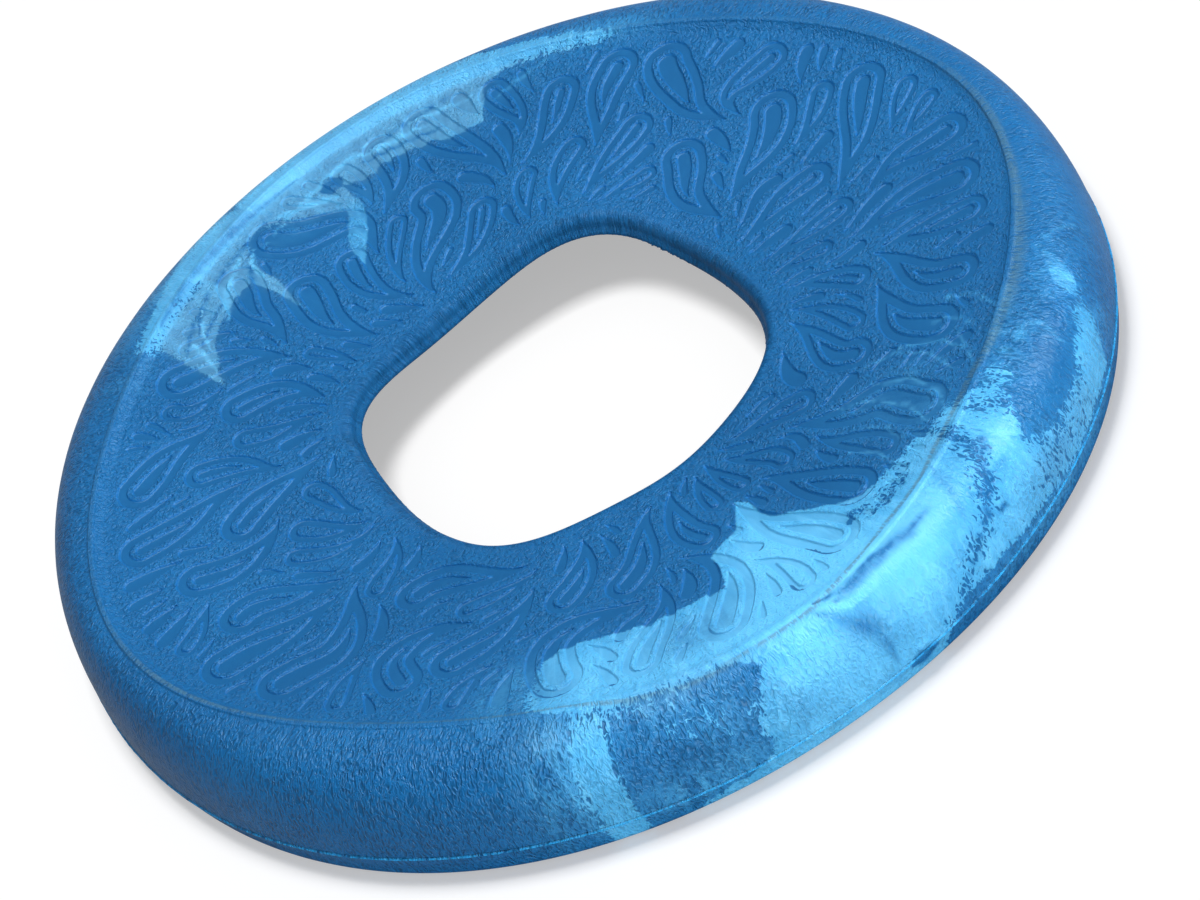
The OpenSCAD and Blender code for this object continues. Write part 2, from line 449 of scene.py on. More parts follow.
def parting_rows():
    """Thin uneven flash on the parting line, trimmed at the gate."""
    flash = (0.16 + 0.11 * (0.5 + 0.5 * ring_noise(5, 60, 3))
             + 0.09 * np.clip(ring_noise(60, 400, 4, 0.2), 0, 1))
    flash = flash * (1 - 0.9 * near_deg(GATE_DEG, 1.0))
    return [(R_OUT, Z_PART + 0.50), (R_OUT + 0.02, Z_PART + 0.2),
            (R_OUT + 0.03 + flash, Z_PART + 0.06), (R_OUT + 0.03 + flash * 0.9, Z_PART - 0.06),
            (R_OUT - 0.02, Z_PART - 0.2), (R_OUT - 0.06, Z_PART - 0.6)]


def foot_rows():
    """Outer side below the parting line and the rounded foot."""
    rows = [(R_OUT - 0.06 - 0.64 * ease(u), (Z_PART - 0.6) * (1 - u) + FOOT_R * u)
            for u in (0.33, 0.66)]
    for k in range(8):
        a = -k / 7 * PI / 2
        rows.append((R_FOOT + FOOT_R * np.cos(a), FOOT_R + FOOT_R * np.sin(a)))
    return rows


def underside_rows():
    """Foot's flat, the skirt's inner side and the underside of rim and deck."""
    rows = [(0.5 * (R_FOOT + R_SKIRT), 0.0)]
    for k in range(4):
        a = -PI / 2 - k / 3 * PI / 2
        rows.append((R_SKIRT + 0.9 + 0.9 * np.cos(a), 0.9 + 0.9 * np.sin(a)))
    r_top, z_top = R_CREST - 4.5, Z_CREST - 1.2 - DECK_T
    for u in (0.35, 0.7):
        rows.append((R_SKIRT - 0.7 * u, 0.9 + (z_top - 6 - 0.9) * u))
    for k in range(7):
        a = k / 6 * PI / 2
        rows.append((r_top - 2 + (R_SKIRT + 1.2 - r_top) * np.cos(a),
                     z_top - 5.4 + 5.4 * np.sin(a)))
    r_start, r_end = r_top - 2, R_WALL + WALL_ROUND
    for u in np.linspace(0, 1, 14)[1:-1]:
        r = r_start + (r_end - r_start) * u
        under_deck, at_wall = ease(u / 0.25), ease((u - 0.86) / 0.14)
        z = z_top * (1 - under_deck) + (deck_z(TH, r) - DECK_T + 0.2) * under_deck
        rows.append((r, z * (1 - at_wall) + (Z_WALL - 0.45) * at_wall))
    return rows


def ring_points(r, z):
    r, z = np.broadcast_to(r, TH.shape), np.broadcast_to(z, TH.shape)
    return np.stack([r * np.cos(TH), r * np.sin(TH), z], -1)


def deck_ring(r):
    return ring_points(r, deck_z(TH, r))


def section_normals(grid, before, after):
    """Grid normals, with both sides of a row weighted evenly so uneven rows don't skew them."""
    ext = np.concatenate([before[None], grid, after[None]])
    f = ext[2:] - ext[1:-1]
    b = ext[1:-1] - ext[:-2]
    lf = np.linalg.norm(f, axis=-1, keepdims=True) + 1e-9
    lb = np.linalg.norm(b, axis=-1, keepdims=True) + 1e-9
    n = np.cross(f / lf + b / lb, np.roll(grid, -1, 1) - np.roll(grid, 1, 1))
    return n / (np.linalg.norm(n, axis=-1, keepdims=True) + 1e-12)


def section_distance(rows, radial_rows):
    """Distance across the section: radius as far as the crest, arc length beyond it."""
    out = []
    for k, (r, z) in enumerate(rows):
        r, z = np.broadcast_to(r, TH.shape), np.broadcast_to(z, TH.shape)
        q = r if k < radial_rows else last_q + np.hypot(r - last_r, z - last_z)
        out.append(q)
        last_r, last_z, last_q = r, z, q
    return np.array(out)


# The section is closed: outer grid, hole grid, deck, outer grid
hole, step, rim = hole_rows(), step_rows(), rim_rows()
outer = step + rim + parting_rows() + foot_rows() + underside_rows()
HOLE_GRID = np.array([ring_points(*row) for row in hole])       # ends at the deck's inside
OUTER_GRID = np.array([ring_points(*row) for row in outer])     # starts at the deck's outside
hole_n = section_normals(HOLE_GRID, OUTER_GRID[-1], deck_ring(deck_in(TH) + 0.4))
outer_n = section_normals(OUTER_GRID, deck_ring(R_DECK_OUT - 0.3), HOLE_GRID[0])
facing = -1.0 if outer_n[13, 0, 2] < 0 else 1.0                 # a row on the step faces up
hole_n *= facing
outer_n *= facing
hole_q, outer_q = section_distance(hole, len(hole)), section_distance(outer, len(step))
FLASH_Q = outer_q[len(step) + len(rim) + 2]                     # distance of the flash's edge

# --------------------------------------------------------------------------
# 5. Deck: constrained triangulation of the drop edge lines
# --------------------------------------------------------------------------
FILL_GAP = 1.15                 # spacing of the fill points


def deck_rows(x, y, height=0.0, slope_x=0.0, slope_y=0.0, floor=0.0):
    """Deck points as rows of x, y, relief height, slopes, and 1 on the floors."""
    rows = np.zeros((len(x), 6))
    for column, values in enumerate((x, y, height, slope_x, slope_y, floor)):
        rows[:, column] = values
    return rows


def fill_points(offsets, limits, depths):
    """Jittered hexagonal grid of points, kept off the edge lines."""
    rows = []
    for i, y in enumerate(np.arange(-96, 96, FILL_GAP * 0.866)):
        x = np.arange(-96, 96, FILL_GAP) + (i % 2) * FILL_GAP / 2
        rows.append(np.stack([x, np.full_like(x, y)], -1))
    points = np.concatenate(rows)
    points = points + np.random.RandomState(5).uniform(-0.12, 0.12, points.shape)
    x, y = points.T
    r, a = np.hypot(x, y), np.arctan2(y, x)
    distance, number = sample(DROP_DIST, x, y), sample(DROP_NO, x, y)
    clear = np.min(np.abs(distance[:, None] + offsets[number]), 1)
    ok = (r > deck_in(a) + 0.45) & (r < deck_out(a) - 0.35) & (clear > 0.42)
    inward, number = -distance[ok], number[ok]
    floor_from, floor_to, pit_from = limits[number].T
    low = ((inward > floor_from) & (inward < floor_to)) | (inward > pit_from)
    return deck_rows(x[ok], y[ok], height=np.where(low, -depths[number], 0.0),
                     floor=np.where(low, 1.0, 0.0))


loops = [deck_rows(r * np.cos(TH), r * np.sin(TH)) for r in (deck_in(TH), R_DECK_OUT)]
drop_offsets = np.full((len(DROPS) + 1, 11), FAR)
floor_limits = np.full((len(DROPS) + 1, 3), FAR)    # outer floor from, to; inner floor from
drop_depths = np.zeros(len(DROPS) + 1)
for number, (x, y, radii, head) in enumerate(DROPS, 1):
    edges, depth = relief(head)
    drop_depths[number] = depth
    floor_limits[number] = [EDGE_W] + [
        next((offset for offset, _, sign in edges[3:] if sign == wanted), FAR)
        for wanted in (-1, 1)]
    for j, (offset, height, sign) in enumerate(edges):
        loop = outline(x, y, radii, offset)
        if loop is None:
            continue
        drop_offsets[number, j] = offset
        slope = 1.5 * depth / EDGE_W * sign
        loops.append(deck_rows(loop[0], loop[1], height, -slope * loop[2], -slope * loop[3],
                               abs(height) / depth))
loop_edges, start = [], 0
for loop in loops:
    i = np.arange(len(loop))
    loop_edges += zip((start + i).tolist(), (start + (i + 1) % len(loop)).tolist())
    start += len(loop)
DECK = np.concatenate(loops + [fill_points(drop_offsets, floor_limits, drop_depths)])
flat, _, deck_tris, origins, _, _ = delaunay_2d_cdt(
    [Vector(p) for p in DECK[:, :2].tolist()], loop_edges, [], 0, 1e-5)
flat = np.array([(p[0], p[1]) for p in flat])
deck_tris = np.array(deck_tris, np.int64)
source = np.array([o[0] if len(o) else -1 for o in origins])
added = np.nonzero(source < 0)[0]       # points made by crossing lines copy their nearest one
for k in added:
    source[k] = int(np.argmin(((DECK[:, :2] - flat[k]) ** 2).sum(1)))
centre = flat[deck_tris].mean(1)
r, a = np.hypot(centre[:, 0], centre[:, 1]), np.arctan2(centre[:, 1], centre[:, 0])
deck_tris = deck_tris[(r > deck_in(a)) & (r < deck_out(a))]
area = np.cross(flat[deck_tris[:, 1]] - flat[deck_tris[:, 0]],
                flat[deck_tris[:, 2]] - flat[deck_tris[:, 0]])
deck_tris, area = deck_tris[np.abs(area) > 1e-9], area[np.abs(area) > 1e-9]
deck_tris[area < 0] = deck_tris[area < 0][:, ::-1]


def deck_z_at(x, y):
    return deck_z(np.arctan2(y, x), np.hypot(x, y))


x, y = flat.T
NUDGE = 0.05                            # step for the deck's own slope
base_z = deck_z_at(x, y)
deck_n = np.stack([-(deck_z_at(x + NUDGE, y) - base_z) / NUDGE + DECK[source, 3],
                   -(deck_z_at(x, y + NUDGE) - base_z) / NUDGE + DECK[source, 4],
                   np.ones(len(flat))], -1)
deck_n /= np.linalg.norm(deck_n, axis=1, keepdims=True)

# --------------------------------------------------------------------------
# 6. Whole ring as one list of points; the deck's boundary points are the grids' own
# --------------------------------------------------------------------------
outer_start = HOLE_GRID.shape[0] * NA
deck_start = outer_start + OUTER_GRID.shape[0] * NA
remap = np.arange(len(flat)) + deck_start
on_hole, on_outer = source < NA, (source >= NA) & (source < 2 * NA)
on_hole[added] = False
on_outer[added] = False
remap[on_hole] = outer_start - NA + source[on_hole]
remap[on_outer] = outer_start + (source[on_outer] - NA)
P = np.concatenate([HOLE_GRID.reshape(-1, 3), OUTER_GRID.reshape(-1, 3),
                    np.stack([x, y, base_z + DECK[source, 2]], -1)])
NORMAL = np.concatenate([hole_n.reshape(-1, 3), outer_n.reshape(-1, 3), deck_n])
ZONE = np.concatenate([np.zeros(deck_start), DECK[source, 5]])      # 1 on drop floors
Q = np.concatenate([hole_q.ravel(), outer_q.ravel(), np.hypot(x, y)])   # across the section


def grid_tris(start, rows):
    i = np.arange(rows - 1)[:, None] * NA + np.arange(NA)[None]
    j = np.arange(rows - 1)[:, None] * NA + (np.arange(NA)[None] + 1) % NA
    a, b, c, d = start + i, start + j, start + j + NA, start + i + NA
    return [np.stack([a, b, c], -1).reshape(-1, 3), np.stack([a, c, d], -1).reshape(-1, 3)]


last, first = deck_start - NA + np.arange(NA), np.arange(NA)
T = np.concatenate(grid_tris(0, len(HOLE_GRID)) + grid_tris(outer_start, len(OUTER_GRID)) + [
    np.stack([last, np.roll(last, -1), np.roll(first, -1)], -1),
    np.stack([last, np.roll(first, -1), first], -1)])
face_n = np.cross(P[T[:, 1]] - P[T[:, 0]], P[T[:, 2]] - P[T[:, 0]])
if (face_n * NORMAL[T[:, 0]]).sum() < 0:        # wind the grids to agree with their normals
    T = T[:, ::-1]
T = np.concatenate([T, remap[deck_tris]])


def compact(tris, arrays):
    """Triangles renumbered to the points they use, and those points' values."""
    used = np.zeros(len(arrays[0]), bool)
    used[tris.ravel()] = True
    return (np.cumsum(used) - 1)[tris], [values[used] for values in arrays]


T, (P, NORMAL, ZONE, Q) = compact(T, [P, NORMAL, ZONE, Q])
ANG = np.arctan2(P[:, 1], P[:, 0])
DEG = np.degrees(ANG)
CREST = crest_r(ANG)

# --------------------------------------------------------------------------
# 7. Marbling tables. Places are (degrees round the ring, mm across the section)
# --------------------------------------------------------------------------
DEG_MM = PI / 180 * 92.0        # length of a degree at radius 92
LIGHT_OUTLINES = [
    # far swirl
    [(51, 92.2), (56, 91.6), (62, 92.6), (68, 93), (71, 91), (72, 86), (72.4, 80.6),
     (75.6, 81.2), (77.5, 80.8), (80.5, 83), (82.7, 83.2), (85.5, 84.4), (88.7, 85),
     (89.8, 83.4), (92.4, 84.4), (94.2, 86.2), (94.6, 82), (94.3, 78), (95.2, 75),
     (96.6, 71.8), (99.6, 67.4), (102, 64.6), (101.2, 70), (99.5, 74), (97, 78), (96.6, 79.9),
     (98.7, 82.4), (100.6, 84.4), (102, 86.2), (103.6, 88.4), (106, 91.2), (107.6, 91.6),
     (109.7, 89.8), (111.4, 86), (112.4, 81.6), (112.3, 78.6), (113.2, 74.4), (115.4, 67.8),
     (114.8, 73), (114.4, 79.6), (115, 82.2), (116.1, 83), (118.5, 82.4), (120.7, 82.1),
     (123.9, 81), (126, 80.8), (129.4, 77.6), (131.6, 76.3), (135, 72.8), (132.6, 78.6),
     (131.4, 82.4), (130.2, 87), (129, 90.4), (130, 93.6), (127, 95.6), (123, 97.2),
     (119, 98.8), (115, 101.5), (111, 106), (106, 111), (100, 113), (92, 112), (84, 108),
     (76, 103), (68, 98.6), (60, 95.6)],
    # near swirl
    [(-119.6, 92), (-119.4, 84), (-118.4, 79), (-116.6, 77.1), (-113.9, 76.4), (-110.4, 77.1),
     (-107.2, 77.2), (-104.5, 78.4), (-101.1, 78.1), (-97.6, 78.4), (-95.4, 78.1), (-93, 79.2),
     (-92.3, 77.8), (-91.8, 75.2), (-91.3, 71.5), (-91.3, 68.4), (-90.4, 68.2), (-87.9, 67),
     (-86.3, 66.8), (-84.8, 64.9), (-82.9, 61.4), (-81.5, 59.2), (-80.2, 62), (-80.7, 65.8),
     (-80.2, 69.2), (-78.3, 72.8), (-76.6, 76.2), (-74.4, 79.8), (-72.9, 82.2), (-72, 83.6),
     (-70.1, 85.3), (-68, 85.9), (-65.9, 87.4), (-62.7, 87.4), (-61.4, 89.8), (-62.2, 93.5),
     (-63, 97), (-63.4, 101), (-65.4, 105.4), (-67.8, 107.8), (-70.4, 110.4), (-72.4, 112.8),
     (-74.4, 116.2), (-76.4, 119), (-77.8, 125), (-78.6, 131), (-80, 136), (-99, 136),
     (-103, 131), (-108, 127), (-105, 124.6), (-99.6, 121.6), (-97.9, 118), (-98, 112.9),
     (-96.4, 107.2), (-94.6, 102.4), (-97, 99.6), (-104, 98.6), (-111, 97.2), (-117, 95)],
    # band down the rim beside the near swirl
    [(-114.8, 97.4), (-115.2, 104), (-115.6, 112), (-115.5, 119), (-114.9, 127), (-111.5, 127),
     (-111.6, 120), (-111.8, 114), (-111.8, 108), (-111.7, 102), (-112, 97.6)],
    # side swirl
    [(-61.8, 90.2), (-60.4, 89.8), (-58.4, 90.6), (-57.4, 93.4), (-57.6, 97), (-56.6, 100),
     (-57.2, 103.4), (-58.8, 107), (-57.6, 111.2), (-54.3, 113.4), (-50.8, 112.8),
     (-47.3, 111.6), (-43.2, 109), (-41, 106), (-37.6, 102.2), (-34.4, 99.2), (-33.2, 99.2),
     (-35.8, 103.8), (-38.5, 106.8), (-40.8, 111.4), (-42.2, 115.8), (-43.4, 119), (-52, 119.6),
     (-60, 118.6), (-66, 117.8), (-69.5, 117.6), (-72.9, 117.4), (-72.2, 115.4),
     (-69.9, 112.8), (-67.9, 110.2), (-65.8, 108.6), (-64, 106.5), (-62.4, 103), (-61.5, 99),
     (-61.2, 95)]]
DARK_OUTLINES = [               # dark islands inside the light outlines
    [(93.6, 88), (94.6, 89.8), (96.2, 90), (97.6, 88.8), (97.4, 87.2), (95.9, 85.6),
     (94.6, 85.8)],
    [(-74.5, 90.2), (-71, 91.4), (-68, 90.8), (-66.6, 89.4), (-69, 88.5), (-72.5, 88.6)],
    [(-76.5, 86.6), (-74, 88.2), (-73, 87), (-75, 84.6)]]
# ragged dark seam between the near and side swirls
SEAM = [(-61.4, 93.5), (-62.0, 97), (-63.0, 101), (-64.8, 105.0), (-66.8, 107.8),
        (-68.8, 110.2), (-71.2, 112.8), (-73.8, 116.2)]
# where the marbling distance is pulled to a level: place, half widths, level in mm, weight
LEVELLED = [
    (-106.5, 99.8, 4.6, 2.6, -1.15, 0.95), (-104, 106.5, 4.5, 3.6, -2.0, 0.9),
    (-108.2, 110, 2.4, 6, -2.2, 0.9), (-100.5, 108, 3.0, 6.5, -2.0, 0.9),
    (-104, 117, 7, 4.0, -1.3, 0.8), (-54.5, 115.6, 7.5, 3.6, -0.25, 0.95),
    (-56.0, 95.5, 2.6, 4.0, -0.5, 0.85), (-53.4, 96.5, 3.4, 4.6, -0.75, 0.9),
    (-53.5, 104.5, 2.4, 4.0, -2.2, 0.9), (-40.2, 105.5, 1.8, 3.5, -0.5, 0.8),
    (121, 91.7, 7.5, 1.5, -0.7, 0.95), (-72, 88.6, 3.4, 1.6, -0.2, 0.7),
    (106, 100.5, 1.6, 2.2, -1.6, 0.9)]
# The spot tables below: place, half widths in degrees and mm, strength.
RAGGED = [                      # the two compounds mingle
    (130, 93, 4, 6, 0.9), (-116.2, 110, 1.5, 12, 0.6), (-108, 98.5, 8, 3.2, 1.0),
    (-104, 107, 7, 9, 1.0), (-57, 113.5, 10, 5.5, 1.0), (-45, 110, 6, 4, 0.75),
    (-57, 98, 4, 6, 1.0), (-53, 97.5, 4.5, 6, 1.0), (-50, 94, 4, 3, 0.9),
    (-63.5, 102, 3.0, 8, 1.0), (-68, 110, 5, 5, 0.9), (-63, 94, 4.0, 4.0, 1.0),
    (-69, 88, 7.0, 2.6, 1.0), (-58, 90, 6, 2, 0.8), (-76, 119, 4.0, 3, 0.8),
    (-94, 126, 16, 4, 0.5), (124, 91.5, 7, 2.6, 1.0), (106, 88, 5, 4, 0.7),
    (80, 97, 12, 3, 0.35), (-120, 88, 3, 8, 0.7), (-98, 78, 20, 2, 0.1),
    (131, 80, 3, 5, 0.35), (58, 94, 9, 3, 0.7)]
SMOOTH = [                      # the grain fades
    (-76, 101, 12, 10, 0.85), (-60, 103, 3.6, 8, 0.8), (-80, 86, 12, 5, 0.4),
    (-50, 106, 7, 6, 0.8), (110, 97, 24, 5, 0.6), (-22, 106, 14, 14, 0.5),
    (0, 106, 18, 14, 0.45), (-78, 115, 12, 5, 0.4)]
GREYED = [                      # thin greyish skin
    (-55, 115, 9, 5, 0.4), (-105, 100, 7, 4, 0.55), (-119, 100, 4, 6, 0.4),
    (-98, 104, 3, 6, 0.3), (110, 96, 5, 3, 0.5), (-64, 92, 4, 3, 0.25), (-74, 98, 6, 3, 0.2),
    (98, 101, 42, 8, 0.46)]
CALMED = [                      # the marbling's edge is clean
    (-112, 110, 2.6, 16, 1.0), (122, 99, 12, 5, 0.9), (-82, 66, 12, 12, 0.7),
    (-104, 77, 16, 3, 0.7), (100, 72, 9, 10, 0.8), (116, 75, 8, 10, 0.8),
    (132, 78, 5, 9, 0.8), (82, 82, 12, 4, 0.6)]
LIGHT_VEIL = [                  # thin veil of light compound over dark
    (-123, 86, 4, 8, 0.5), (-117.0, 108, 3.6, 15, 0.72), (-105, 119, 8, 5, 0.62),
    (-106, 101, 7, 5, 0.45), (-101, 108, 4, 6, 0.3), (-58, 122, 14, 3.5, 0.4),
    (-52, 96, 5, 3, 0.3), (-46, 99, 6, 4, 0.3), (-38, 101, 4, 4, 0.34),
    (-50, 98, 5, 3.5, 0.3), (-44, 94, 5, 2, 0.4), (-58, 85, 6, 4, 0.25),
    (-52, 78, 4, 6, 0.18), (-57, 76, 7, 10, 0.15), (120, 100, 10, 6, 0.4),
    (134, 92, 4, 6, 0.2), (56, 94, 9, 3, 0.5), (103, 85, 6, 3, 0.3), (66, 87, 5, 4, 0.22),
    (93, 80, 3, 5, 0.3), (-60, 110, 7, 6, 0.22), (-42, 113, 4, 5, 0.5), (-30, 104, 8, 8, 0.12)]
DARK_VEIL = [                   # thin veil of dark compound over light
    (-35.5, 100.5, 4, 4.5, 0.78), (-37, 103, 4, 6, 0.65), (-55, 115, 9, 5, 0.36),
    (-40.3, 106.5, 3.5, 5, 0.62), (-42, 114, 3.5, 4, 0.45), (-100, 86, 9, 6, 0.6),
    (108, 95.5, 4, 3, 0.35), (-84, 106, 4, 7, 0.42), (-83, 114, 3, 5, 0.3),
    (-90, 116, 6, 6, 0.25), (-78, 99.5, 6, 1.6, 0.45), (80, 89, 9, 5, 0.6),
    (86, 88, 4, 3, 0.4), (106, 101, 3, 4, 0.55), (113, 100, 5, 4, 0.4), (119, 88, 6, 5, 0.45),
    (-118, 86, 5, 6, 0.5), (-104, 86, 12, 6, 0.3), (92, 100, 20, 5, 0.25),
    (95, 97, 45, 9, 0.22), (-66, 97, 3, 5, 0.2), (-71, 104, 3, 8, 0.2), (-87, 121, 10, 3, 0.3)]
# thin combed streaks: places along the line, width in mm, strength (+ paler, - darker)
STREAKS = [
    ([(-70.5, 99.4), (-72.7, 100.3), (-76.5, 99.8), (-79.2, 98.8), (-82.2, 99.6),
      (-84.3, 99.6), (-87, 98.4)], 0.75, -0.85),
    ([(-73, 101.6), (-77, 101), (-80, 100.4), (-84, 101.2), (-87, 100.4)], 0.4, -0.5),
    ([(-89.5, 96), (-86.5, 99.5), (-84.5, 102.7), (-83.1, 102.9), (-79.8, 102.2),
      (-75.6, 103)], 0.45, 0.7),
    ([(-87.4, 100.5), (-85, 106), (-83.4, 110), (-83.2, 118)], 1.7, -0.45),
    ([(-66.5, 95), (-68, 100), (-69.4, 106)], 1.0, -0.4),
    ([(-95, 108), (-93.5, 113), (-94, 120)], 2.2, -0.3),
    ([(-74, 106), (-77, 110), (-79, 116)], 1.6, 0.3),
    ([(-62.2, 93), (-62.6, 97), (-62.9, 101), (-64.4, 105.5), (-66.6, 107.8), (-68.6, 110),
      (-71, 112.6), (-73.6, 116)], 0.45, -0.9),
    ([(-60.2, 99), (-61.6, 101.2), (-62.8, 103)], 0.6, -1.2),
    ([(-61.5, 106), (-63.4, 106.4), (-65, 106.6)], 0.5, -1.2),
    ([(-64.5, 111.4), (-66.4, 110.4), (-67.8, 109.4)], 0.5, -1.1),
    ([(-67.4, 104.6), (-66.2, 106), (-66, 107.6)], 0.45, -1.0),
    ([(-81.8, 122.2), (-80.4, 121.7), (-79.0, 121.5)], 1.7, -2.4),
    ([(122, 80), (119, 84), (115, 87), (111, 89)], 0.7, 0.75),
    ([(116, 76), (114.5, 82), (111, 87), (107, 90)], 0.6, -0.6),
    ([(113, 80), (112, 85), (109, 89)], 0.5, 0.8), ([(104, 90), (99, 87), (96, 84)], 0.8, 0.7),
    ([(126, 84), (122, 87), (117, 89.5)], 0.5, -0.55),
    ([(128, 80), (125, 84), (121, 88)], 0.5, 0.6), ([(92, 91), (86, 89), (80, 88)], 0.8, 0.55),
    ([(90, 88), (84, 86.6), (78, 85)], 0.6, -0.5),
    ([(132, 76), (129, 81), (127, 86)], 0.6, 0.5),
    ([(82, 91), (77, 89.5), (73, 89)], 0.6, 0.5),
    ([(-50, 66), (-46, 74), (-46, 82), (-49, 90)], 0.4, 0.5),
    ([(-42, 76), (-42, 83), (-45, 90)], 0.35, 0.5),
    ([(-38, 80), (-39, 87), (-42, 92)], 0.35, 0.45),
    ([(-58, 64), (-56, 72), (-57, 80), (-60, 88)], 0.35, 0.5),
    ([(-53, 70), (-52, 78), (-55, 86), (-59, 91)], 0.35, 0.55),
    ([(-47, 72), (-48, 80), (-52, 88)], 0.3, 0.45),
    ([(-62, 70), (-61, 78), (-63, 85)], 0.3, 0.4),
    ([(-66, 74), (-65, 80), (-67, 86)], 0.4, 0.5),
    ([(-44, 84), (-48, 88), (-52, 92)], 0.3, 0.4),
    ([(62, 91), (66, 88.5), (70, 86)], 0.5, 0.4),
    ([(88, 92), (94, 90.6), (101, 88.6), (108, 87)], 0.6, 0.6),
    ([(104, 92), (110, 90), (118, 88.6)], 0.5, -0.5),
    ([(98, 95), (108, 94.6), (120, 93.6), (126, 92.4)], 0.8, -0.55),
    ([(100, 99.5), (112, 100), (124, 98)], 1.2, 0.5),
    ([(120, 88), (125, 86.5), (130, 84)], 0.5, -0.5),
    ([(118, 84), (123, 83.4), (128, 82)], 0.4, -0.5),
    ([(76, 92), (82, 91.5), (90, 90)], 0.6, -0.4),
    ([(-38, 97), (-36.5, 102), (-38, 108)], 0.6, 0.35),
    ([(-46, 97), (-44.5, 101), (-46, 106)], 0.5, 0.4),
    ([(-34, 98), (-31, 101), (-29, 106)], 0.4, 0.3),
    ([(-50, 96), (-47, 98.4), (-45, 97.6)], 0.5, 0.45)]
# the moulded line's distance outside the crest: degrees from +X, mm
LINE_DEG = [180, 222, 244, 251, 255, 259, 265, 272, 277, 285, 292, 296, 301, 306.5, 311.5,
            317, 322, 330, 345]
LINE_OFFSET = [0, -1.2, -1.2, 1.2, 1.9, 2.4, 1.4, 1.2, 0.1, -1.8, -1.2, -2.2, -2.2, -1.6, 0.2,
               1.0, 1.4, 1.2, 0]

# --------------------------------------------------------------------------
# 8. Fields on the ring's points, read by the material
# --------------------------------------------------------------------------
def to_segment(x, y, a, b):
    """Distance from points to the segment a-b, and how far along it they lie."""
    d = b - a
    t = np.clip(((x - a[0]) * d[0] + (y - a[1]) * d[1]) / (d @ d), 0, 1)
    return np.hypot(x - a[0] - t * d[0], y - a[1] - t * d[1]), t


def signed_distance(outline_points):
    """Distance in mm to a closed outline, positive inside."""
    p = np.array(outline_points, float) * (DEG_MM, 1)
    x, y = DEG * DEG_MM, Q
    best, inside = np.full(len(x), 1e9), np.zeros(len(x), bool)
    for a, b in zip(p, np.roll(p, -1, 0)):
        best = np.minimum(best, to_segment(x, y, a, b)[0])
        crosses = (a[1] > y) != (b[1] > y)
        inside ^= crosses & (x < (b[0] - a[0]) * (y - a[1]) / ((b[1] - a[1]) + 1e-12) + a[0])
    return np.where(inside, 1, -1) * best


def near_path(points, margin_deg, margin_mm):
    """Points near an open line: their numbers, distances and shares along it."""
    p = np.array(points, float)
    lo, hi = p.min(0), p.max(0)
    near = np.nonzero((DEG > lo[0] - margin_deg) & (DEG < hi[0] + margin_deg)
                      & (Q > lo[1] - margin_mm) & (Q < hi[1] + margin_mm))[0]
    p = p * (DEG_MM, 1)
    best, share = np.full(len(near), 1e9), np.zeros(len(near))
    for i in range(len(p) - 1):
        d, t = to_segment(DEG[near] * DEG_MM, Q[near], p[i], p[i + 1])
        share = np.where(d < best, (i + t) / (len(p) - 1), share)
        best = np.minimum(best, d)
    return near, best, share


def spot(degrees, q, half_deg, half_mm):
    d = (DEG - degrees + 180) % 360 - 180
    return np.exp(-(d / half_deg) ** 2 - ((Q - q) / half_mm) ** 2)


def with_spots(table, field=0.0):
    """The field raised to each spot of a table."""
    for *place, strength in table:
        field = np.maximum(field, strength * spot(*place))
    return field


def marbling():
    """Signed distance to the light compound's outline, positive inside, and raggedness."""
    field = np.full(len(P), -25.0)
    for points in LIGHT_OUTLINES:
        field = np.maximum(field, signed_distance(points))
    for points in DARK_OUTLINES:
        field = np.minimum(field, -signed_distance(points))
    field = np.clip(field, -25, 25)
    for *place, level, strength in LEVELLED:
        weight = strength * np.clip(1.35 * spot(*place), 0, 1)
        field = field * (1 - weight) + level * weight
    seam = np.full(len(P), 99.0)
    near, distance, _ = near_path(SEAM, 6, 8)
    seam[near] = distance
    field = np.minimum(field, seam - (2.0 - 0.9 * ease((-66 - DEG) / 6)))
    ragged = np.maximum(with_spots(RAGGED), 0.95 * np.exp(-(seam / 3.2) ** 2))
    # all dark beyond 136 mm
    return np.where(Q > 136, np.minimum(field, -(Q - 136) * 0.8), field), ragged


def streaks():
    """Soft thin lines, narrow at both ends; the strongest wins."""
    field = np.zeros(len(P))
    for points, width, strength in STREAKS:
        near, distance, share = near_path(points, 3, 4)
        width = width * (0.25 + 0.75 * np.sin(PI * np.clip(share, 0.02, 0.98)))
        v = strength * np.exp(-(distance / width) ** 2)
        field[near] = np.where(np.abs(v) > np.abs(field[near]), v, field[near])
    return field


def dark_slivers():
    """Dark compound left at the foot of some drop heads."""
    field = np.zeros(len(P))
    # head place and the direction the head points to
    heads = np.array([(x[0], y[0], x[0] - x[2], y[0] - y[2]) for x, y, *_ in DROPS])
    sizes = np.array([head for *_, head in DROPS])
    rng = np.random.RandomState(9)
    turn = rng.uniform(-1.5, 0.4, len(heads))
    chosen = rng.uniform(0, 1, len(heads)) < 0.62
    on = np.nonzero((Q < CREST - 3.4) & (Q > deck_in(ANG) + 1) & (MARBLE > -1))[0]
    x, y = P[on, 0], P[on, 1]
    drop = np.clip(sample(DROP_NO, x, y) - 1, 0, len(heads) - 1)
    head_x, head_y, way_x, way_y = heads[drop].T
    off = np.arctan2(y - head_y, x - head_x) - (np.arctan2(way_y, way_x) + turn[drop])
    off = np.abs((off + PI) % (2 * PI) - PI)
    foot = 1 - np.clip(np.abs(-sample(DROP_DIST, x, y) - EDGE_W - 0.05) / 0.55, 0, 1)
    field[on] = foot * np.clip(1.9 - off / 0.7, 0, 1) * chosen[drop] * (sizes[drop] > 1.2)
    return field


